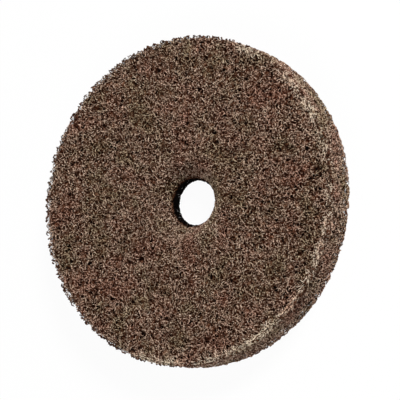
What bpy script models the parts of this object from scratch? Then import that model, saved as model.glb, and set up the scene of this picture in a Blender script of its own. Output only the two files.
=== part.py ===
"""Unitized abrasive wheel: one small flat wheel of pressed and bonded nylon web, with a plain bore.

The wheel lies on its back face. Its axis is +Z and the origin is the middle of the back face.
"""

import math
import random

import bmesh
import bpy
from mathutils import Matrix, Vector
from mathutils.geometry import delaunay_2d_cdt

MM = 0.001

# The wheel's blank, cut from a pressed slab
WHEEL_DIAMETER = 50.8 * MM
WHEEL_THICKNESS = 6.35 * MM
RIM_EDGE_ROUND = 0.6 * MM
BORE_DIAMETER = 7.3 * MM
BORE_EDGE_ROUND = 2.6 * MM
FLANGE_SEAT_WIDTH = 1.1 * MM

# The open web of its skin: strands cross at one pitch, and pores sink between them
STRAND_PITCH = 1.05 * MM
STRAND_WANDER = 0.25 * MM
STRAND_UNEVENNESS = 0.25 * MM
PORE_DEPTH = 1.1 * MM
SHALLOWEST_PORE = 0.5

# Segments on a quarter turn of each round
RIM_ROUND_STEPS = 2
BORE_ROUND_STEPS = 4

# Colour and surface of the cured brown web
WEB_COLOUR = (0.155, 0.105, 0.072, 1.0)
WEB_ROUGHNESS = 0.85
CREASE_ANGLE = math.radians(30)

# One seed for every random choice, so the wheel comes out the same each time
SEED = 11

# Share of the pitch that the filling points of a face keep from its edges
EDGE_MARGIN = 0.75

# Points closer than this are one point
SAME_PLACE = 0.001 * MM

# The kind of triangulation that keeps only what lies within the lines
WITHIN_LINES = 1


def clear_scene():
    """Remove the objects of the open scene."""
    for item in list(bpy.data.objects):
        bpy.data.objects.remove(item, do_unlink=True)


def limited_round(radius):
    """A round's radius, limited so that two of them fit on the wheel's thickness."""
    return min(radius, 0.42 * WHEEL_THICKNESS)


def quarter_turn(centre_x, centre_z, radius, start, steps):
    """Points on a quarter circle in the XZ plane, turning clockwise from the angle `start`."""
    angles = [start - 0.5 * math.pi * step / steps for step in range(steps + 1)]
    return [
        Vector((centre_x + radius * math.cos(angle), 0.0, centre_z + radius * math.sin(angle)))
        for angle in angles
    ]


def points_between(first, last):
    """Points one strand pitch apart between two points, without the two ends."""
    count = max(1, round((last - first).length / STRAND_PITCH))
    return [first.lerp(last, step / count) for step in range(1, count)]


def rim_section():
    """The section of the outer skin: from the front face over the rim to the back face."""
    radius = limited_round(RIM_EDGE_ROUND)
    shoulder = WHEEL_DIAMETER / 2 - radius
    front = quarter_turn(shoulder, WHEEL_THICKNESS - radius, radius, math.pi / 2, RIM_ROUND_STEPS)
    back = quarter_turn(shoulder, radius, radius, 0.0, RIM_ROUND_STEPS)
    return front + points_between(front[-1], back[0]) + back


def bore_section():
    """The section of the inner skin: from the back seat through the bore to the front seat."""
    radius = limited_round(BORE_EDGE_ROUND)
    mouth = BORE_DIAMETER / 2 + radius
    back = quarter_turn(mouth, radius, radius, 1.5 * math.pi, BORE_ROUND_STEPS)
    front = quarter_turn(mouth, WHEEL_THICKNESS - radius, radius, math.pi, BORE_ROUND_STEPS)
    seat = mouth + FLANGE_SEAT_WIDTH
    seat_back = Vector((seat, 0.0, 0.0))
    seat_front = Vector((seat, 0.0, WHEEL_THICKNESS))
    return [seat_back] + back + points_between(back[-1], front[0]) + front + [seat_front]


def turn_section(mesh, section):
    """Turn an open section about the wheel's axis, in steps of about one strand pitch."""
    widest = max(point.x for point in section)
    points = [mesh.verts.new(point) for point in section]
    lines = [mesh.edges.new(pair) for pair in zip(points, points[1:])]
    bmesh.ops.spin(
        mesh,
        geom=points + lines,
        cent=(0.0, 0.0, 0.0),
        axis=(0.0, 0.0, 1.0),
        angle=math.tau,
        steps=round(math.tau * widest / STRAND_PITCH),
        use_merge=True,
    )


def spread_points(inner, outer):
    """Points one strand pitch apart between two radii, laid out like the seeds of a sunflower."""
    first_reach = STRAND_PITCH * math.sqrt(math.sqrt(3) / math.tau)
    golden_angle = math.pi * (3 - math.sqrt(5))
    seeds = range(math.ceil((inner / first_reach) ** 2), int((outer / first_reach) ** 2))
    return [
        Matrix.Rotation(golden_angle * seed, 2) @ Vector((first_reach * math.sqrt(seed), 0.0))
        for seed in seeds
    ]


def open_edges_at(mesh, height):
    """The open edges of the turned skins that lie at one height."""
    return [
        edge
        for edge in mesh.edges
        if edge.is_boundary and all(abs(vert.co.z - height) < SAME_PLACE for vert in edge.verts)
    ]


def fill_face(mesh, height):
    """Fill one flat face between the flange seat and the rim with even triangles."""
    mesh.verts.index_update()
    border = open_edges_at(mesh, height)
    verts = sorted({vert for edge in border for vert in edge.verts}, key=lambda vert: vert.index)
    order = {vert: place for place, vert in enumerate(verts)}
    lines = [(order[edge.verts[0]], order[edge.verts[1]]) for edge in border]
    margin = EDGE_MARGIN * STRAND_PITCH
    inner = min(vert.co.xy.length for vert in verts)
    outer = max(vert.co.xy.length for vert in verts)
    inside = spread_points(inner + margin, outer - margin)
    places = [vert.co.xy for vert in verts] + inside
    verts += [mesh.verts.new((*point, height)) for point in inside]
    _, _, triangles, origins, _, _ = delaunay_2d_cdt(places, lines, [], WITHIN_LINES, SAME_PLACE)
    for triangle in triangles:
        corners = [verts[origins[corner][0]] for corner in triangle]
        over_bore = all(corner.co.xy.length < inner + SAME_PLACE for corner in corners)
        if not over_bore:
            mesh.faces.new(corners)


def open_web_points(mesh):
    """The points where pores may open: past the flange seat, which stays plain like the bore."""
    seat = BORE_DIAMETER / 2 + limited_round(BORE_EDGE_ROUND) + FLANGE_SEAT_WIDTH
    return [vert for vert in mesh.verts if vert.co.xy.length > seat + SAME_PLACE]


def within_blank(point):
    """The same point, brought back to the blank's surface if it stands proud of it."""
    reach = min(point.xy.length, WHEEL_DIAMETER / 2)
    height = min(max(point.z, 0.0), WHEEL_THICKNESS)
    return Vector((*(point.xy.normalized() * reach), height))


def let_strands_wander(mesh, chance):
    """Move each point of the web a little along the surface, so that no pattern shows."""
    for vert in open_web_points(mesh):
        step = Vector(chance.uniform(-STRAND_WANDER, STRAND_WANDER) for _ in range(3))
        vert.co = within_blank(vert.co + step - step.project(vert.normal))


def way_to_core(point):
    """The direction from a point of the skin straight to the middle of the web's thickness.

    Near the rim it points at one circle inside the wheel, so that pores beside the edge don't meet.
    """
    reach = point.xy.length
    core_reach = min(reach, (WHEEL_DIAMETER - WHEEL_THICKNESS) / 2)
    core = Vector((*(point.xy * core_reach / reach), WHEEL_THICKNESS / 2))
    return (core - point).normalized()


def choose_pores(mesh, chance):
    """Points that sink into pores, no two of them next to each other, so strands part them."""
    candidates = open_web_points(mesh)
    chance.shuffle(candidates)
    pores = set()
    for vert in candidates:
        if not any(edge.other_vert(vert) in pores for edge in vert.link_edges):
            pores.add(vert)
    return pores


def open_web(mesh, chance):
    """Sink the pores, and let the strands round them lie a little below the blank's surface."""
    pores = choose_pores(mesh, chance)
    for vert in open_web_points(mesh):
        if vert in pores:
            depth = PORE_DEPTH * chance.uniform(SHALLOWEST_PORE, 1.0)
        else:
            depth = STRAND_UNEVENNESS * max(0.0, chance.uniform(-1.0, 1.0))
        vert.co += depth * way_to_core(vert.co)


def web_material():
    """The look of the cured, grain-loaded web."""
    material = bpy.data.materials.new("bonded_web")
    material.use_nodes = True
    surface = material.node_tree.nodes["Principled BSDF"]
    surface.inputs["Base Color"].default_value = WEB_COLOUR
    surface.inputs["Roughness"].default_value = WEB_ROUGHNESS
    surface.inputs["Metallic"].default_value = 0.0
    return material


def build_wheel(collection):
    """Build the wheel: turn its skins, fill its two faces, then open the web."""
    chance = random.Random(SEED)
    mesh = bmesh.new()
    turn_section(mesh, rim_section())
    turn_section(mesh, bore_section())
    fill_face(mesh, WHEEL_THICKNESS)
    fill_face(mesh, 0.0)
    bmesh.ops.recalc_face_normals(mesh, faces=mesh.faces)
    mesh.normal_update()
    let_strands_wander(mesh, chance)
    bmesh.ops.triangulate(mesh, faces=mesh.faces)
    open_web(mesh, chance)
    data = bpy.data.meshes.new("abrasive_wheel")
    mesh.to_mesh(data)
    mesh.free()
    data.shade_smooth()
    data.set_sharp_from_angle(angle=CREASE_ANGLE)
    data.materials.append(web_material())
    collection.objects.link(bpy.data.objects.new("abrasive_wheel", data))


def main():
    """Make the wheel in a collection of its own."""
    clear_scene()
    collection = bpy.data.collections.new("unitized_abrasive_wheel")
    bpy.context.scene.collection.children.link(collection)
    build_wheel(collection)


main()
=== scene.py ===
"""Looks of the unitized abrasive wheel: a pressed, cured web of nylon strands loaded with brown grain.

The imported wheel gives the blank's size. The scene grows strands in the blank's skin, over a pitted core
that shows in the pores between them. Lengths are in metres, unless a name says millimetres.
"""

import logging
import math
from dataclasses import astuple, dataclass, field
from enum import Enum
from typing import Any

import bpy
import numpy as np
from mathutils import Matrix, Vector
from mathutils.kdtree import KDTree

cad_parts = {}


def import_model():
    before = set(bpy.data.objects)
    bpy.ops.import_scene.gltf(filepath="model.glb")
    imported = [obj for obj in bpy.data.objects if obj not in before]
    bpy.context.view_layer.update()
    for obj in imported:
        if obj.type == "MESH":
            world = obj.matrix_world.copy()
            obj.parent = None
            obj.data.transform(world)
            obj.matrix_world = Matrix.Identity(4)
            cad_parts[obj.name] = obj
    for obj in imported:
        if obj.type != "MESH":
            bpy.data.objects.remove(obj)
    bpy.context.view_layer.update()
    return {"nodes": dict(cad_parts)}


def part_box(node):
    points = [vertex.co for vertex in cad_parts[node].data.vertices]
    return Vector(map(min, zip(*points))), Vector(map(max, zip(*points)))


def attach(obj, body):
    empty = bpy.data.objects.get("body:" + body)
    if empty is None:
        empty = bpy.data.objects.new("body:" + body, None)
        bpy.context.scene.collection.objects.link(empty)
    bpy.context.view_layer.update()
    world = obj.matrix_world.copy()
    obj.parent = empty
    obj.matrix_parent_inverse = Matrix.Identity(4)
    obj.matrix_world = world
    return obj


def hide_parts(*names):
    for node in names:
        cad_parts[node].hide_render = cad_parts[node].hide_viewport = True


MM = 0.001
WHEEL_NODE = "abrasive_wheel"
BODY = "root"
WHITE = "FFFFFF"

# The map that the strands are laid out flat in, for baking, and the values that each point of the web
# carries
BAKE_MAP = "OFBake"
# Each strand's own tone, and the painted shade that darkens the web deep down and in the hole
TINT = "tint"
PAINTED_SHADE = "shade"

# A strand is a three-sided tube: at a sixth of a millimetre, more sides wouldn't show
SIDES = 3

# The share of its own patch of the bake map that a strand leaves free along each side
PATCH_MARGIN = 0.05

# How suddenly the ends of a strand dive into the web: the power of the distance from its middle
DIVE_POWER = 3

# Steps that spread any number of points evenly over a unit square, and how far each strays from there,
# as a share of the mean distance between them
EVEN_STEPS = (0.7548776662, 0.5698402910)
UNEVENNESS = 0.35

# How far loose ends of the web stand into the cut hole
BORE_NAP = 0.2 * MM

# Moves that bring a point close to its depth under the rounded skin
SETTLE_MOVES = 3

# The least that is divided by, so that nothing fails where a length is nought
TINY = 1e-9

log = logging.getLogger("abrasive_wheel")


def linear(hex_colour: str) -> tuple[float, float, float, float]:
    """Turn an sRGB hex colour into the linear colour that a shader takes.

    Args:
        hex_colour: Six hex digits, red first, such as "8A7360".

    Returns:
        Linear red, green, blue and an alpha of 1.
    """
    parts = [int(hex_colour[place : place + 2], 16) / 255 for place in (0, 2, 4)]
    red, green, blue = (
        part / 12.92 if part <= 0.04045 else ((part + 0.055) / 1.055) ** 2.4 for part in parts
    )
    return red, green, blue, 1.0


def add_node(
    tree: bpy.types.NodeTree,
    kind: str,
    inputs: dict[str | int, Any] | None = None,
    **settings: Any,
) -> bpy.types.Node:
    """Add one shader node, with its settings, its socket values and its links.

    Args:
        tree: The material's or world's node tree.
        kind: The node's type, such as "ShaderNodeTexNoise".
        inputs: For each input socket, a value, or another node's output socket to link.
        **settings: Properties of the node itself.

    Returns:
        The new node.
    """
    node = tree.nodes.new(kind)
    for name, value in settings.items():
        setattr(node, name, value)
    for socket, value in (inputs or {}).items():
        if isinstance(value, bpy.types.NodeSocket):
            tree.links.new(value, node.inputs[socket])
        else:
            node.inputs[socket].default_value = value
    return node


def empty_tree(owner: bpy.types.Material | bpy.types.World) -> bpy.types.NodeTree:
    """Switch nodes on and clear them.

    Args:
        owner: The material or world whose nodes are wanted.

    Returns:
        Its node tree, without any node.
    """
    owner.use_nodes = True
    owner.node_tree.nodes.clear()
    return owner.node_tree


def mesh_object(
    name: str,
    points: np.ndarray,
    faces: np.ndarray,
    values: dict[str, np.ndarray] | None = None,
    flat_places: np.ndarray | None = None,
) -> bpy.types.Object:
    """Make a smooth-shaded mesh object from arrays.

    Args:
        name: The object's name.
        points: Places, one a row.
        faces: Point numbers, one face a row, all with the same number of corners.
        values: Named numbers, one for each point.
        flat_places: Where each face's corners lie in the bake map, if the piece brings one.

    Returns:
        The object, linked to the scene.
    """
    mesh = bpy.data.meshes.new(name)
    mesh.vertices.add(len(points))
    mesh.vertices.foreach_set("co", points.astype(np.float32).ravel())
    mesh.loops.add(faces.size)
    mesh.loops.foreach_set("vertex_index", faces.astype(np.int32).ravel())
    mesh.polygons.add(len(faces))
    mesh.polygons.foreach_set("loop_start", np.arange(0, faces.size, faces.shape[1], dtype=np.int32))
    for title, numbers in (values or {}).items():
        layer = mesh.attributes.new(title, "FLOAT", "POINT")
        layer.data.foreach_set("value", numbers.astype(np.float32).ravel())
    if flat_places is not None:
        layer = mesh.uv_layers.new(name=BAKE_MAP)
        layer.uv.foreach_set("vector", flat_places.astype(np.float32).ravel())
    mesh.update(calc_edges=True)
    mesh.shade_smooth()
    made = bpy.data.objects.new(name, mesh)
    bpy.context.scene.collection.objects.link(made)
    return made


class Zone(Enum):
    """The parts of the wheel's skin that strands are grown on."""

    FRONT = "front"
    BACK = "back"
    RIM = "rim"
    BORE = "bore"
    FRONT_EDGE = "front edge"
    BACK_EDGE = "back edge"


class Coating(Enum):
    """What is left on a strand: its full coat of resin and grain, or bare nylon where that wore off, which
    on the front corner is also a painted highlight.
    """

    GRAIN = "grain"
    WORN_WITH_HIGHLIGHT = "worn"


@dataclass(frozen=True)
class Corner:
    """A rounded corner of the blank's section, by its size across the face and down the wall.

    At a fullness of 2 it is a quarter of an ellipse, and towards 1 it flattens to a straight slope.
    """

    reach: float
    height: float
    fullness: float = 2.0


@dataclass(frozen=True)
class Blank:
    """The wheel's smooth blank: a turned ring whose section is a rectangle with rounded corners."""

    radius: float
    thickness: float
    bore_radius: float

    # The rim's corners are cut sharp. The hole is narrowest low down and is dished wide towards the front
    rim: Corner = Corner(0.3 * MM, 0.3 * MM)
    bore_front: Corner = Corner(2.95 * MM, 4.2 * MM, 1.3)
    bore_back: Corner = Corner(2.15 * MM, 2.15 * MM)

    # How far down the rim, from its face, the strands of an edge are spread
    edge_height: float = 0.6 * MM

    # The depths in the web at which painted shade sets in and is full
    light_depth: float = 0.20 * MM
    dark_depth: float = 0.75 * MM

    # How far into the hole its wall is left without painted shade from the front and from the back, and how
    # fast the painted shade sets in past there
    light_front: float = 2.85 * MM
    light_back: float = 0.3 * MM
    wall_fade: float = 0.7 * MM

    @classmethod
    def of_frame(cls, wheel: bpy.types.Object) -> "Blank":
        """Read the blank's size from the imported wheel.

        Args:
            wheel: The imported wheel's object.

        Returns:
            The blank that encloses it.
        """
        low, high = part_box(WHEEL_NODE)
        places = np.array([vertex.co for vertex in wheel.data.vertices])
        bore_radius = float(np.hypot(places[:, 0], places[:, 1]).min()) - BORE_NAP
        return cls(radius=(high[0] - low[0]) / 2, thickness=high[2] - low[2], bore_radius=bore_radius)

    def depth_and_outward(self, points: np.ndarray) -> tuple[np.ndarray, np.ndarray]:
        """Measure how deep points lie under the blank's surface, and which way is out.

        Args:
            points: Places, one a row.

        Returns:
            Each point's depth, negative outside, and its unit direction out of the blank.
        """
        # Each point goes with one corner of the section, and with the wall and the face that meet there
        reach, height = np.hypot(points[:, 0], points[:, 1]), points[:, 2]
        by_bore = reach < (self.radius + self.bore_radius) / 2
        by_front = height > np.where(by_bore, self.bore_back.height, self.thickness / 2)
        corners = [
            np.where(by_bore, np.where(by_front, front, back), rim)
            for front, back, rim in zip(astuple(self.bore_front), astuple(self.bore_back), astuple(self.rim))
        ]
        size, fullness = np.stack(corners[:2], axis=1), corners[2][:, None]
        to_wall = np.where(by_bore, reach - self.bore_radius, self.radius - reach)
        to_face = np.where(by_front, self.thickness - height, height)
        inward = np.stack([to_wall, to_face], axis=1)

        # On the round of the corner, the depth comes from how fast the corner's formula changes there.
        # Past it, the nearer one of wall and face gives it
        share = np.maximum(1.0 - inward / size, 0.0)
        by_corner = share.min(axis=1) > 0.0
        total = np.maximum((share**fullness).sum(axis=1, keepdims=True), TINY) ** (1 / fullness)
        slope = share ** (fullness - 1.0) / size * total ** (1.0 - fullness)
        steepness = np.maximum(np.linalg.norm(slope, axis=1), TINY)
        depth = np.where(by_corner, (1.0 - total[:, 0]) / steepness, inward.min(axis=1))
        flat = (inward == inward.min(axis=1, keepdims=True)).astype(float)
        way = np.where(by_corner[:, None], slope / steepness[:, None], flat)
        way *= np.stack([np.where(by_bore, -1.0, 1.0), np.where(by_front, 1.0, -1.0)], axis=1)
        radial = points[:, :2] / np.maximum(reach, TINY)[:, None]
        outward = np.concatenate([radial * way[:, :1], way[:, 1:]], axis=1)
        return depth, outward

    def settle(self, points: np.ndarray, depth: np.ndarray) -> np.ndarray:
        """Move points straight in or out until they lie at a wanted depth.

        Args:
            points: Places, one a row.
            depth: The depth wanted for each.

        Returns:
            The moved places.
        """
        for _ in range(SETTLE_MOVES):
            now, outward = self.depth_and_outward(points)
            points = points + outward * (now - depth)[:, None]
        return points

    def areas(self) -> dict[Zone, float]:
        """Measure the zones that make up the skin.

        Returns:
            The area of each.
        """
        face = math.pi * (self.radius**2 - self.bore_radius**2)
        return {
            Zone.FRONT: face,
            Zone.BACK: face,
            Zone.RIM: math.tau * self.radius * self.thickness,
            Zone.BORE: math.tau * self.bore_radius * self.thickness,
        }

    def scatter(
        self,
        zone: Zone,
        count: int,
        chance: np.random.Generator,
        arc: tuple[float, float] = (-math.pi, math.pi),
    ) -> np.ndarray:
        """Spread points evenly over one zone of the skin.

        Args:
            zone: Where the points go.
            count: How many.
            chance: The source of random numbers.
            arc: The first and the last angle about the axis.

        Returns:
            The points, one a row.
        """
        first, second = (np.arange(count) * step + chance.uniform() for step in EVEN_STEPS)
        jitter = chance.normal(0.0, UNEVENNESS / math.sqrt(count), (2, count))
        angle = arc[0] + (arc[1] - arc[0]) * ((first + jitter[0]) % 1.0)
        share = (second + jitter[1]) % 1.0
        if zone in (Zone.FRONT, Zone.BACK):
            reach = np.sqrt(self.bore_radius**2 + share * (self.radius**2 - self.bore_radius**2))
            height = np.full(count, self.thickness if zone is Zone.FRONT else 0.0)
        elif zone in (Zone.FRONT_EDGE, Zone.BACK_EDGE):
            from_face = share * self.edge_height
            reach = np.full(count, self.radius)
            height = self.thickness - from_face if zone is Zone.FRONT_EDGE else from_face
        else:
            reach = np.full(count, self.radius if zone is Zone.RIM else self.bore_radius)
            height = share * self.thickness
        return np.stack([reach * np.cos(angle), reach * np.sin(angle), height], axis=1)

    def shade(self, points: np.ndarray) -> np.ndarray:
        """Paint shade into the web at each point: 0 at the open surface, 1 deep inside or in the hole.

        Args:
            points: Places, one a row.

        Returns:
            A number from 0 to 1 for each.
        """
        depth, _ = self.depth_and_outward(points)
        by_hole = np.hypot(points[:, 0], points[:, 1]) < self.bore_radius + self.bore_front.reach
        from_front, from_back = self.thickness - points[:, 2], points[:, 2]
        in_hole = np.minimum(from_front - self.light_front, from_back - self.light_back) / self.wall_fade
        in_web = (depth - self.light_depth) / (self.dark_depth - self.light_depth)
        return np.clip(np.maximum(in_web, by_hole * in_hole), 0.0, 1.0)


@dataclass
class Pores:
    """The open pores of the web's skin, each the middle of a cell that strands run round, where the web
    below shows with its painted shade.
    """

    blank: Blank
    seed: int = 5

    # The mean distance from one pore to the next, and how deep their middles lie
    spacing: float = 0.40 * MM
    depth: float = 0.25 * MM

    # The share of the pores that are wide, and how far round those no other pore lies
    wide_share: float = 0.02
    wide_reach: float = 0.5 * MM

    # The middles of the pores, and what finds the nearest of them
    centres: np.ndarray = field(init=False)
    tree: KDTree = field(init=False)

    def __post_init__(self) -> None:
        """Lay out the pores evenly, then take away the neighbours of the wide ones."""
        chance = np.random.default_rng(self.seed)
        places = [
            self.blank.scatter(zone, round(area / self.spacing**2), chance)
            for zone, area in self.blank.areas().items()
        ]
        centres = np.concatenate(places)
        centres = self.blank.settle(centres, np.full(len(centres), self.depth))
        tree = self.tree_of(centres)
        kept = np.ones(len(centres), bool)
        for number in chance.permutation(len(centres))[: round(self.wide_share * len(centres))]:
            if kept[number]:
                kept[[found[1] for found in tree.find_range(centres[number], self.wide_reach)]] = False
                kept[number] = True
        self.centres = centres[kept]
        self.tree = self.tree_of(self.centres)

    @staticmethod
    def tree_of(centres: np.ndarray) -> KDTree:
        """Index places, so that the nearest to any point are found fast.

        Args:
            centres: The places, one a row.

        Returns:
            The tree that finds them by their row numbers.
        """
        tree = KDTree(len(centres))
        for number, centre in enumerate(centres):
            tree.insert(centre, number)
        tree.balance()
        return tree

    def to_walls(self, points: np.ndarray, outward: np.ndarray, hold: float) -> np.ndarray:
        """Move points sideways onto the walls between pores, as far from one pore as from the next.

        Args:
            points: Places, one a row.
            outward: The unit direction out of the blank at each.
            hold: The share of the way that they move.

        Returns:
            The moved places.
        """
        pairs = np.array([[found[1] for found in self.tree.find_n(point, 2)] for point in points])
        near, far = self.centres[pairs[:, 0]], self.centres[pairs[:, 1]]
        across = far - near
        across -= outward * (across * outward).sum(axis=1, keepdims=True)
        width = np.maximum(np.linalg.norm(across, axis=1, keepdims=True), TINY)
        across /= width
        from_near = ((points - near) * across).sum(axis=1, keepdims=True)
        return points + hold * across * (width / 2 - from_near)


@dataclass(frozen=True)
class StrandLayer:
    """One layer of curled strands in one zone of the skin."""

    name: str
    zone: Zone
    count: int
    seed: int

    # How deep the strands lie, how far they weave up and down and in how many half waves, how far their
    # ends dive into the web, and how far they may stand out of an upright wall
    shallowest: float = 0.06 * MM
    deepest: float = 0.32 * MM
    wave: float = 0.13 * MM
    half_waves: tuple[float, float] = (2.0, 4.0)
    dive: float = 0.35 * MM
    proud: float = 0.0 * MM

    # How long they are and how much that varies, how thick they are, the share of their thickness that
    # is left where they are leanest, and the steps that they are drawn in
    length: float = 1.15 * MM
    length_spread: float = 0.4
    thinnest: float = 0.10 * MM
    thickest: float = 0.17 * MM
    leanest: float = 0.75
    steps: int = 4

    # How sharply they turn and how much that varies along them, how much they follow the rim, and how
    # closely they keep to the walls between pores
    curl: float = 2.0 / MM
    curl_spread: float = 0.5
    along_rim: float = 0.0
    hold: float = 0.85

    # What coats them, the range of their tones, and the least painted shade that lies on them
    coating: Coating = Coating.GRAIN
    darkest_tint: float = 0.35
    palest_tint: float = 0.9
    painted_darkness: float = 0.0

    # The arc that they grow on, and in how many tufts and how widely gathered, if they are gathered
    first_degrees: float = -180.0
    last_degrees: float = 180.0
    tufts: int = 0
    tuft_width: float = 0.16 * MM
    tuft_length: float = 0.70 * MM

    def roots(self, blank: Blank, depth: np.ndarray, chance: np.random.Generator) -> np.ndarray:
        """Choose where the strands start.

        Args:
            blank: The blank that holds them.
            depth: How deep each one lies.
            chance: The source of random numbers.

        Returns:
            The places, one a row.
        """
        arc = (math.radians(self.first_degrees), math.radians(self.last_degrees))
        place = blank.scatter(self.zone, self.count, chance, arc)
        if self.tufts:
            place = place[chance.integers(0, self.tufts, self.count)]
            _, outward = blank.depth_and_outward(place)
            along = np.cross(outward, (0.0, 0.0, 1.0))
            place = place + chance.normal(0.0, self.tuft_width, place.shape)
            place = place + along * chance.normal(0.0, self.tuft_length, (self.count, 1))
        return blank.settle(place, depth)

    def paths(
        self, blank: Blank, pores: Pores, chance: np.random.Generator
    ) -> tuple[np.ndarray, np.ndarray]:
        """Walk every strand along the skin, turning and weaving as it goes.

        Args:
            blank: The blank that holds them.
            pores: The pores that they run round.
            chance: The source of random numbers.

        Returns:
            The strands' points and the outward directions there, as strand, step, axis.
        """
        count, spread = self.count, self.length_spread
        base = chance.uniform(self.shallowest, self.deepest, count)
        phase = chance.uniform(0.0, math.tau, count)
        beat = chance.uniform(*self.half_waves, count) * math.pi
        stride = self.length / self.steps * chance.uniform(1 - spread, 1 + spread, count)
        turn = chance.normal(0.0, self.curl, count)
        place = self.roots(blank, base, chance)
        heading = chance.normal(0.0, 1.0, (count, 3))
        heading += self.along_rim * np.cross(place, (0.0, 0.0, 1.0)) / blank.radius
        points, outwards = [], []
        for step in range(self.steps + 1):
            along = step / self.steps
            sway = self.wave * np.sin(phase + beat * along)
            ends = self.dive * abs(2 * along - 1) ** DIVE_POWER
            _, outward = blank.depth_and_outward(place)
            upright = np.hypot(outward[:, 0], outward[:, 1])
            depth = np.maximum(base + sway + ends, self.thickest / 2 - self.proud * upright)
            place = blank.settle(pores.to_walls(place, outward, self.hold), depth)
            _, outward = blank.depth_and_outward(place)
            points.append(place)
            outwards.append(outward)
            heading -= outward * (heading * outward).sum(axis=1, keepdims=True)
            heading /= np.linalg.norm(heading, axis=1, keepdims=True)
            bend = (turn + chance.normal(0.0, self.curl_spread * self.curl, count)) * stride
            sideways = np.cross(outward, heading)
            heading = heading * np.cos(bend)[:, None] + sideways * np.sin(bend)[:, None]
            place = place + heading * stride[:, None]
        return np.stack(points, axis=1), np.stack(outwards, axis=1)

    def tubes(self, centres: np.ndarray, outwards: np.ndarray, chance: np.random.Generator) -> np.ndarray:
        """Give the strands their thickness, which swells and shrinks along them as resin does.

        Args:
            centres: The points along the middle of each strand, as strand, step, axis.
            outwards: The unit directions out of the blank there.
            chance: The source of random numbers.

        Returns:
            The points of each strand, as strand, point, axis: its two ends, with rings between them.
        """
        along = np.gradient(centres, axis=1)
        along /= np.linalg.norm(along, axis=2, keepdims=True)
        side = np.cross(outwards, along)
        side /= np.linalg.norm(side, axis=2, keepdims=True)
        over = np.cross(along, side)
        radius = chance.uniform(self.thinnest, self.thickest, (self.count, 1)) / 2
        radius = radius * chance.uniform(self.leanest, 1.0, (self.count, self.steps + 1))

        # The first corner of each ring points out of the blank
        angles = math.pi / 2 + math.tau * np.arange(SIDES) / SIDES
        spokes = np.cos(angles)[:, None] * side[:, :, None] + np.sin(angles)[:, None] * over[:, :, None]
        rings = centres[:, :, None] + spokes * radius[:, :, None, None]
        walls = rings[:, 1:-1].reshape(self.count, -1, 3)
        return np.concatenate([centres[:, :1], walls, centres[:, -1:]], axis=1)

    def wall_corners(self) -> np.ndarray:
        """List the triangles of one strand, which narrows to a point at each end.

        Returns:
            The ring and the side of each triangle's corners. The side runs past the seam, and at the
            points it is halfway along the triangle's other side.
        """
        rings, sides = np.meshgrid(np.arange(1, self.steps - 1), np.arange(SIDES), indexing="ij")
        near = np.stack([rings, sides], axis=-1).reshape(-1, 1, 2)
        side = np.stack([np.zeros(SIDES), np.arange(SIDES)], axis=-1)[:, None]
        last = self.steps
        return np.concatenate(
            [
                near + [(0, 0), (0, 1), (1, 1)],
                near + [(0, 0), (1, 1), (1, 0)],
                side + [(0, 0.5), (1, 1), (1, 0)],
                side + [(last, 0.5), (last - 1, 0), (last - 1, 1)],
            ]
        )

    def faces(self) -> np.ndarray:
        """List the triangles of all the strands.

        Returns:
            Point numbers, one triangle a row.
        """
        ring, side = np.moveaxis(self.wall_corners(), -1, 0)
        on_ring = 1 + (ring - 1) * SIDES + side % SIDES
        last = 1 + (self.steps - 1) * SIDES
        one = np.where(ring == 0, 0, np.where(ring == self.steps, last, on_ring))
        starts = np.arange(self.count)[:, None, None] * (last + 1)
        return (one[None] + starts).reshape(-1, 3)

    def flat_places(self) -> np.ndarray:
        """Lay the strands out flat for the bake, each in a patch of its own of the unit square.

        Returns:
            The place of each triangle's corners, in the order of the faces.
        """
        one = PATCH_MARGIN + (1 - 2 * PATCH_MARGIN) * self.wall_corners() / (self.steps, SIDES)
        across = math.ceil(math.sqrt(self.count))
        rows, columns = np.divmod(np.arange(self.count), across)
        starts = np.stack([columns, rows], axis=1)[:, None, None]
        return (one[None] + starts).reshape(-1, 2) / across

    def build(self, blank: Blank, pores: Pores) -> bpy.types.Object:
        """Grow the layer.

        Args:
            blank: The blank that holds it.
            pores: The pores that its strands run round.

        Returns:
            The layer as one mesh object.
        """
        chance = np.random.default_rng(self.seed)
        centres, outwards = self.paths(blank, pores, chance)
        strands = self.tubes(centres, outwards, chance)
        points = strands.reshape(-1, 3)
        tints = chance.uniform(self.darkest_tint, self.palest_tint, self.count)
        # Each strand's own tone, and the painted shade on each point, from its depth and place and at least
        # the layer's own
        values = {
            TINT: np.repeat(tints, strands.shape[1]),
            PAINTED_SHADE: np.maximum(blank.shade(points), self.painted_darkness),
        }
        return mesh_object(self.name, points, self.faces(), values, self.flat_places())


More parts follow.
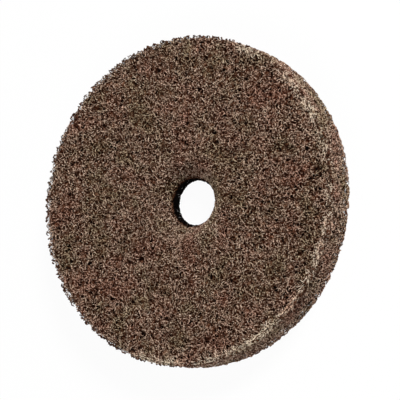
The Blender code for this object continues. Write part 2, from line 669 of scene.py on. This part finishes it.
@dataclass(frozen=True)
class WebCore:
    """The web under the strands, darkened with painted shade by its depth: a body a little inside the blank,
    with a pitted surface.
    """

    name: str = "core"
    seed: int = 3

    # How far inside the blank its surface lies, and how much deeper its pits go
    inset: float = 0.30 * MM
    pit: float = 0.60 * MM

    # How far apart its points lie, and the share of that by which they stray round the axis
    pitch: float = 0.50 * MM
    stray: float = 0.8

    def section(self, blank: Blank) -> np.ndarray:
        """Run round the blank's section in even steps.

        Args:
            blank: The wheel's blank.

        Returns:
            Reach and height of each point of the section, one a row.
        """
        low, high = (blank.bore_radius, 0.0), (blank.radius, blank.thickness)
        corners = np.array([low, (high[0], low[1]), high, (low[0], high[1])])
        sides = []
        for first, last in zip(corners, np.roll(corners, -1, axis=0)):
            count = round(np.linalg.norm(last - first) / self.pitch)
            sides.append(np.linspace(first, last, count, endpoint=False))
        return np.concatenate(sides)

    def build(self, blank: Blank) -> bpy.types.Object:
        """Turn the section about the axis, inset it and pit it.

        Args:
            blank: The wheel's blank.

        Returns:
            The core's mesh object.
        """
        chance = np.random.default_rng(self.seed)
        section = self.section(blank)
        steps = round(math.tau * blank.radius / self.pitch)
        straying = chance.uniform(0.0, self.stray, (len(section), steps))
        angle = math.tau / steps * (np.arange(steps) + straying)
        reach, height = section[:, :1], np.repeat(section[:, 1:], steps, axis=1)
        points = np.stack([reach * np.cos(angle), reach * np.sin(angle), height], axis=-1).reshape(-1, 3)
        depth = self.inset + self.pit * chance.uniform(0.0, 1.0, len(points))
        points = blank.settle(points, depth)
        row = np.arange(len(section))[:, None] * steps
        next_row = np.roll(row, -1, axis=0)
        column = np.arange(steps)[None]
        next_column = np.roll(column, -1, axis=1)
        faces = np.stack(
            [row + column, row + next_column, next_row + next_column, next_row + column], axis=-1
        ).reshape(-1, 4)
        values = {TINT: chance.uniform(0.0, 1.0, len(points)), PAINTED_SHADE: blank.shade(points)}
        return mesh_object(self.name, points, faces, values)


@dataclass(frozen=True)
class BondedNylon:
    """Nylon strands coated with cured resin and brown aluminium oxide grain.

    The resin gives a low sheen and the grain breaks it up, so the strands look matt, with pale specks of
    bare grain and painted glints where single grains catch the light. Strands differ in tone, as their
    coating differs in thickness.
    """

    name: str = "grain_coated_nylon"

    # The coat from the painted shade of the deepest pores up to the palest strands, bare grain with painted
    # glints, and what tints some patches
    deepest: str = "060201"
    deep: str = "2E0D00"
    brown: str = "77523D"
    pale: str = "DBC1AA"
    bare_grain_and_glint: str = "F0E2D0"
    red_tint: str = "FBE7E5"
    olive_tint: str = "E6EADC"

    # How far up from deep to pale the coat is brown, and the painted light below which painted shade takes
    # it down to the deepest
    brown_level: float = 0.45
    dim_below: float = 0.35

    # Widths of the tinted patches, of the clusters of grain and of single grains. Bare grain and its painted
    # glints are drawn as wide as its clusters, because single grains would be too fine to show
    patch_mm: float = 4.0
    grain_mm: float = 0.24
    grit_mm: float = 0.05

    # The noise levels between which each of these sets in and is full, and how much clusters change a tone
    cluster_levels: tuple[float, float] = (0.35, 0.65)
    bare_and_glint_levels: tuple[float, float] = (0.68, 0.76)
    red_levels: tuple[float, float] = (0.50, 0.69)
    olive_levels: tuple[float, float] = (0.48, 0.34)
    cluster_contrast: float = 0.8

    # How high grains stand, as a share of their width, and how strongly that shows
    grit_height: float = 0.5
    grit_strength: float = 0.6

    # The low sheen of the resin
    roughness: float = 0.62
    specular: float = 0.08
    ior: float = 1.5

    def tone(self, tree: bpy.types.NodeTree, grain: bpy.types.NodeSocket) -> bpy.types.NodeSocket:
        """Give each strand its own tone of brown, broken up by clusters of grain.

        Args:
            tree: The material's node tree.
            grain: The noise that the grain follows.

        Returns:
            A number from 0 for the darkest to 1 for the palest.
        """
        tint = add_node(tree, "ShaderNodeAttribute", attribute_name=TINT)
        clusters = add_node(
            tree,
            "ShaderNodeMapRange",
            {
                "Value": grain,
                "From Min": self.cluster_levels[0],
                "From Max": self.cluster_levels[1],
                "To Min": -self.cluster_contrast,
                "To Max": self.cluster_contrast,
            },
        )
        both = add_node(
            tree,
            "ShaderNodeMath",
            {0: tint.outputs["Fac"], 1: clusters.outputs["Result"]},
            operation="ADD",
            use_clamp=True,
        )
        return both.outputs[0]

    def coat(
        self, tree: bpy.types.NodeTree, tone: bpy.types.NodeSocket, painted_light: bpy.types.NodeSocket
    ) -> bpy.types.NodeSocket:
        """Colour the coat by each strand's tone, with painted shade that darkens it deep in the pores and in
        the hole.

        Args:
            tree: The material's node tree.
            tone: Each strand's tone.
            painted_light: The painted light on the web, which is what the painted shade leaves, from 0 to 1.

        Returns:
            The coat's colour.
        """
        level = add_node(tree, "ShaderNodeMath", {0: tone, 1: painted_light}, operation="MULTIPLY").outputs[0]
        lower = add_node(tree, "ShaderNodeMapRange", {"Value": level, "From Max": self.brown_level})
        upper = add_node(tree, "ShaderNodeMapRange", {"Value": level, "From Min": self.brown_level})
        up_to_brown = add_node(
            tree,
            "ShaderNodeMix",
            {"Factor": lower.outputs["Result"], "A": linear(self.deep), "B": linear(self.brown)},
            data_type="RGBA",
        )
        up_to_pale = add_node(
            tree,
            "ShaderNodeMix",
            {
                "Factor": upper.outputs["Result"],
                "A": up_to_brown.outputs["Result"],
                "B": linear(self.pale),
            },
            data_type="RGBA",
        )

        # Painted shade: where the pores and the hole are deepest, the colour falls to the deepest, as hardly
        # any light comes back there
        dim = add_node(tree, "ShaderNodeMapRange", {"Value": painted_light, "From Max": self.dim_below})
        down_to_deepest = add_node(
            tree,
            "ShaderNodeMix",
            {
                "Factor": dim.outputs["Result"],
                "A": linear(self.deepest),
                "B": up_to_pale.outputs["Result"],
            },
            data_type="RGBA",
        )
        return down_to_deepest.outputs["Result"]

    def in_patches(
        self, tree: bpy.types.NodeTree, place: bpy.types.NodeSocket, colour: bpy.types.NodeSocket
    ) -> bpy.types.NodeSocket:
        """Let the resin run redder or more olive over patches of a few millimetres.

        Args:
            tree: The material's node tree.
            place: The place on the wheel.
            colour: The coat's colour.

        Returns:
            The colour with its patches.
        """
        patches = add_node(
            tree, "ShaderNodeTexNoise", {"Vector": place, "Scale": 1 / (self.patch_mm * MM), "Detail": 2.0}
        )
        tints = ((self.red_tint, self.red_levels), (self.olive_tint, self.olive_levels))
        for tint, (sets_in, full) in tints:
            share = add_node(
                tree,
                "ShaderNodeMapRange",
                {"Value": patches.outputs["Fac"], "From Min": sets_in, "From Max": full},
            )
            tinted = add_node(
                tree,
                "ShaderNodeMix",
                {"Factor": share.outputs["Result"], "A": colour, "B": linear(tint)},
                data_type="RGBA",
                blend_type="MULTIPLY",
            )
            colour = tinted.outputs["Result"]
        return colour

    def with_bare_grain_and_glints(
        self,
        tree: bpy.types.NodeTree,
        grain: bpy.types.NodeSocket,
        painted_light: bpy.types.NodeSocket,
        colour: bpy.types.NodeSocket,
    ) -> bpy.types.NodeSocket:
        """Add pale specks of bare grain, with painted glints where they catch the light, where the web has
        painted light.

        Args:
            tree: The material's node tree.
            grain: The noise that the grain follows.
            painted_light: The painted light on the web, which is what the painted shade leaves, from 0 to 1.
            colour: The coat's colour.

        Returns:
            The colour with its pale specks.
        """
        # Pale bare grain and painted glints in one mark, only as far as there is painted light
        bare = add_node(
            tree,
            "ShaderNodeMapRange",
            {"Value": grain, "From Min": self.bare_and_glint_levels[0], "From Max": self.bare_and_glint_levels[1]},
        )
        lit_bare_and_glint = add_node(
            tree, "ShaderNodeMath", {0: bare.outputs["Result"], 1: painted_light}, operation="MULTIPLY"
        )
        specked = add_node(
            tree,
            "ShaderNodeMix",
            {"Factor": lit_bare_and_glint.outputs[0], "A": colour, "B": linear(self.bare_grain_and_glint)},
            data_type="RGBA",
        )
        return specked.outputs["Result"]

    def build(self) -> bpy.types.Material:
        """Make the material.

        Returns:
            A material that follows each strand's tint and painted shade, and the place on the wheel.
        """
        material = bpy.data.materials.new(self.name)
        tree = empty_tree(material)
        place = add_node(tree, "ShaderNodeTexCoord").outputs["Object"]
        # The painted shade on each point, and the painted light that it leaves
        shade = add_node(tree, "ShaderNodeAttribute", attribute_name=PAINTED_SHADE).outputs["Fac"]
        painted_light = add_node(tree, "ShaderNodeMath", {0: 1.0, 1: shade}, operation="SUBTRACT").outputs[0]
        grain = add_node(
            tree, "ShaderNodeTexNoise", {"Vector": place, "Scale": 1 / (self.grain_mm * MM), "Detail": 1.0}
        ).outputs["Fac"]
        colour = self.coat(tree, self.tone(tree, grain), painted_light)
        colour = self.in_patches(tree, place, colour)
        colour = self.with_bare_grain_and_glints(tree, grain, painted_light, colour)

        # Each grain stands a little proud of the resin
        grit = add_node(
            tree, "ShaderNodeTexNoise", {"Vector": place, "Scale": 1 / (self.grit_mm * MM), "Detail": 1.0}
        )
        rough_skin = add_node(
            tree,
            "ShaderNodeBump",
            {
                "Height": grit.outputs["Fac"],
                "Distance": self.grit_height * self.grit_mm * MM,
                "Strength": self.grit_strength,
            },
        )
        surface = add_node(
            tree,
            "ShaderNodeBsdfPrincipled",
            {
                "Base Color": colour,
                "Roughness": self.roughness,
                "Specular IOR Level": self.specular,
                "IOR": self.ior,
                "Normal": rough_skin.outputs["Normal"],
            },
        )
        add_node(tree, "ShaderNodeOutputMaterial", {"Surface": surface.outputs["BSDF"]})
        return material


# Where the sharp front corner rubs, the coat has worn off and the nylon shows its own cream colour. It is
# also a painted highlight:
# it is drawn only on the part of the corner that the camera sees with the rim, where the corner catches the
# light
WORN_HIGHLIGHT_NYLON = BondedNylon(
    name="worn_highlight_nylon",
    deep="4A3424",
    brown="B29A82",
    pale="EEDEC9",
    red_tint="FCE6DE",
    olive_tint="F6F2E8",
)

# Strands that lie under the first ones of a face, seen through the pores between those
UNDERLYING: dict[str, float] = {"shallowest": 0.20 * MM, "deepest": 0.50 * MM, "palest_tint": 0.85}


@dataclass(frozen=True)
class OpenWeb:
    """The wheel as it looks: strands of the pressed web over its darker core."""

    blank: Blank
    core: WebCore = WebCore()
    layers: tuple[StrandLayer, ...] = (
        StrandLayer("front_strands", Zone.FRONT, count=11000, seed=11),
        StrandLayer("front_deep_strands", Zone.FRONT, count=11000, seed=12, **UNDERLYING),
        # The rim is cut from the slab, so its strands stand out a little
        StrandLayer(
            "rim_strands",
            Zone.RIM,
            count=8500,
            seed=13,
            shallowest=-0.04 * MM,
            deepest=0.28 * MM,
            proud=0.18 * MM,
        ),
        # Cut ends that stand out of the front corner all round, with painted shade that makes them dark
        # against the light behind them
        StrandLayer(
            "front_edge_fray",
            Zone.FRONT_EDGE,
            count=620,
            seed=16,
            shallowest=-0.28 * MM,
            deepest=0.0 * MM,
            proud=0.42 * MM,
            length=0.85 * MM,
            thinnest=0.22 * MM,
            thickest=0.30 * MM,
            curl=3.5 / MM,
            hold=0.0,
            painted_darkness=0.68,
        ),
        # Worn tufts on the half of the front corner that the camera sees together with the rim, which are
        # also a painted highlight where the corner catches the light
        StrandLayer(
            "front_edge_tufts",
            Zone.FRONT_EDGE,
            count=1050,
            seed=17,
            shallowest=-0.04 * MM,
            deepest=0.08 * MM,
            proud=0.20 * MM,
            curl=1.8 / MM,
            along_rim=0.8,
            coating=Coating.WORN_WITH_HIGHLIGHT,
            darkest_tint=0.45,
            palest_tint=1.0,
            first_degrees=-112.0,
            last_degrees=68.0,
            tufts=36,
            tuft_width=0.24 * MM,
        ),
        # A broken pale line of worn strands along the lower right of that corner, which is also a painted
        # highlight of the corner
        StrandLayer(
            "front_edge_line",
            Zone.FRONT_EDGE,
            count=300,
            seed=20,
            shallowest=-0.08 * MM,
            deepest=0.02 * MM,
            wave=0.03 * MM,
            proud=0.20 * MM,
            curl=0.5 / MM,
            along_rim=4.0,
            hold=0.3,
            coating=Coating.WORN_WITH_HIGHLIGHT,
            darkest_tint=0.7,
            palest_tint=1.0,
            first_degrees=-106.0,
            last_degrees=-36.0,
            tufts=14,
            tuft_width=0.06 * MM,
            tuft_length=1.3 * MM,
        ),
        # Thicker strands that run along the cut back corner and close it, a little darkened with painted
        # shade
        StrandLayer(
            "back_edge_strands",
            Zone.BACK_EDGE,
            count=1800,
            seed=18,
            shallowest=-0.12 * MM,
            deepest=0.04 * MM,
            wave=0.04 * MM,
            proud=0.26 * MM,
            thinnest=0.15 * MM,
            thickest=0.22 * MM,
            curl=1.0 / MM,
            along_rim=1.5,
            painted_darkness=0.25,
        ),
        StrandLayer("back_strands", Zone.BACK, count=9500, seed=14),
        StrandLayer("back_deep_strands", Zone.BACK, count=5400, seed=19, **UNDERLYING),
        # Thin strands that lie close to the wall of the hole, where the blank's painted shade darkens them
        StrandLayer(
            "bore_strands",
            Zone.BORE,
            count=1800,
            seed=15,
            shallowest=0.0 * MM,
            deepest=0.20 * MM,
            wave=0.05 * MM,
            proud=0.05 * MM,
            thickest=0.14 * MM,
        ),
    )

    def build(self) -> list[bpy.types.Object]:
        """Build the core and every layer of strands.

        Returns:
            The pieces, the core first.
        """
        pores = Pores(self.blank)
        return [self.core.build(self.blank)] + [layer.build(self.blank, pores) for layer in self.layers]

    def dress(self, pieces: list[bpy.types.Object]) -> None:
        """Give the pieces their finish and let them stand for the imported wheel.

        Args:
            pieces: The core and the layers, the core first.
        """
        finishes = {Coating.GRAIN: BondedNylon().build(), Coating.WORN_WITH_HIGHLIGHT: WORN_HIGHLIGHT_NYLON.build()}
        coatings = [Coating.GRAIN] + [layer.coating for layer in self.layers]
        for piece, coating in zip(pieces, coatings):
            piece.data.materials.append(finishes[coating])
            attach(piece, BODY)
        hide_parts(WHEEL_NODE)


@dataclass(frozen=True)
class Viewpoint:
    """The camera of the photograph, which looks down on the front face from the right."""

    # How far the camera is, how far it leans from the wheel's axis, and to which side it leans
    distance: float = 355.6 * MM
    tilt_degrees: float = 31.44
    turn_degrees: float = -14.76

    # The focal length, the picture's side and the place of the wheel's middle in the picture
    lens_pixels: float = 2296.0
    picture_pixels: float = 400.0
    centre_x_pixels: float = 193.5
    centre_y_pixels: float = 202.0
    nearest_seen: float = 1 * MM

    def build(self, blank: Blank) -> None:
        """Place the camera.

        Args:
            blank: The wheel's blank, whose middle the camera faces.
        """
        tilt, turn = math.radians(self.tilt_degrees), math.radians(self.turn_degrees)
        back = Vector((math.sin(tilt) * math.cos(turn), math.sin(tilt) * math.sin(turn), math.cos(tilt)))
        right = Vector((0.0, 1.0, 0.0)).cross(back).normalized()
        up = back.cross(right)
        lens = bpy.data.cameras.new("camera")
        lens.lens = self.lens_pixels / self.picture_pixels * lens.sensor_width
        lens.shift_x = (self.picture_pixels / 2 - self.centre_x_pixels) / self.picture_pixels
        lens.shift_y = (self.centre_y_pixels - self.picture_pixels / 2) / self.picture_pixels
        lens.clip_start = self.nearest_seen
        pose = Matrix((right, up, back)).transposed().to_4x4()
        pose.translation = Vector((0.0, 0.0, blank.thickness / 2)) + back * self.distance
        camera = bpy.data.objects.new("camera", lens)
        camera.matrix_world = pose
        bpy.context.scene.collection.objects.link(camera)
        bpy.context.scene.camera = camera


@dataclass(frozen=True)
class Lamp:
    """One square studio lamp that faces the wheel."""

    name: str
    azimuth_degrees: float
    elevation_degrees: float
    watts: float
    size: float
    distance: float = 500 * MM

    def build(self) -> None:
        """Hang the lamp."""
        azimuth, elevation = math.radians(self.azimuth_degrees), math.radians(self.elevation_degrees)
        level = math.cos(elevation)
        way = Vector((level * math.cos(azimuth), level * math.sin(azimuth), math.sin(elevation)))
        light = bpy.data.lights.new(self.name, "AREA")
        light.size = self.size
        light.energy = self.watts
        lamp = bpy.data.objects.new(self.name, light)
        lamp.location = way * self.distance
        lamp.rotation_euler = way.to_track_quat("Z", "Y").to_euler()
        bpy.context.scene.collection.objects.link(lamp)


@dataclass(frozen=True)
class Studio:
    """A white card floor, a white room and soft lamps."""

    # The card's own white, and how much of it glows for the camera, so that hardly any shadow shows on it
    card: str = "F2F2F2"
    card_glow: float = 0.95
    card_size: float = 1200 * MM
    room_light: float = 0.20
    lamps: tuple[Lamp, ...] = (
        Lamp("key", azimuth_degrees=48, elevation_degrees=40, watts=2.6, size=140 * MM),
        Lamp("fill", azimuth_degrees=-85, elevation_degrees=45, watts=1.0, size=300 * MM),
    )

    def light_room(self) -> None:
        """Light the scene evenly from all round, and let the camera see white."""
        world = bpy.data.worlds.new("studio")
        tree = empty_tree(world)
        light = add_node(
            tree, "ShaderNodeBackground", {"Color": linear(WHITE), "Strength": self.room_light}
        )
        white = add_node(tree, "ShaderNodeBackground", {"Color": linear(WHITE)})
        path = add_node(tree, "ShaderNodeLightPath")
        both = add_node(
            tree,
            "ShaderNodeMixShader",
            {0: path.outputs["Is Camera Ray"], 1: light.outputs[0], 2: white.outputs[0]},
        )
        add_node(tree, "ShaderNodeOutputWorld", {"Surface": both.outputs[0]})
        bpy.context.scene.world = world

    def white_card(self) -> bpy.types.Material:
        """Make the finish of smooth white card: matt, with no sheen, and as white as the picture's ground.

        Returns:
            The material.
        """
        material = bpy.data.materials.new("white_card")
        tree = empty_tree(material)
        card = add_node(tree, "ShaderNodeBsdfDiffuse", {"Color": linear(self.card)})
        glow = add_node(tree, "ShaderNodeEmission", {"Color": linear(WHITE)})
        path = add_node(tree, "ShaderNodeLightPath")
        share = add_node(
            tree,
            "ShaderNodeMath",
            {0: path.outputs["Is Camera Ray"], 1: self.card_glow},
            operation="MULTIPLY",
        )
        both = add_node(
            tree, "ShaderNodeMixShader", {0: share.outputs[0], 1: card.outputs[0], 2: glow.outputs[0]}
        )
        add_node(tree, "ShaderNodeOutputMaterial", {"Surface": both.outputs[0]})
        return material

    def lay_floor(self) -> None:
        """Lay the white card that the wheel lies on."""
        half = self.card_size / 2
        corners = np.array([(-half, -half, 0.0), (half, -half, 0.0), (half, half, 0.0), (-half, half, 0.0)])
        floor = mesh_object("floor", corners, np.array([[0, 1, 2, 3]]))
        floor.data.materials.append(self.white_card())

    def build(self) -> None:
        """Set up the floor, the room and the lamps."""
        self.lay_floor()
        self.light_room()
        for lamp in self.lamps:
            lamp.build()
        bpy.context.scene.view_settings.view_transform = "Standard"


def main() -> None:
    """Build the stage, then the web, and log each piece's number of faces and its finish."""
    logging.basicConfig(level=logging.INFO, format="%(message)s")
    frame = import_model()
    blank = Blank.of_frame(frame["nodes"][WHEEL_NODE])
    Viewpoint().build(blank)
    Studio().build()
    web = OpenWeb(blank)
    pieces = web.build()
    web.dress(pieces)
    for piece in pieces:
        log.info("%s: %d faces, %s", piece.name, len(piece.data.polygons), piece.active_material.name)


if __name__ == "__main__":
    main()
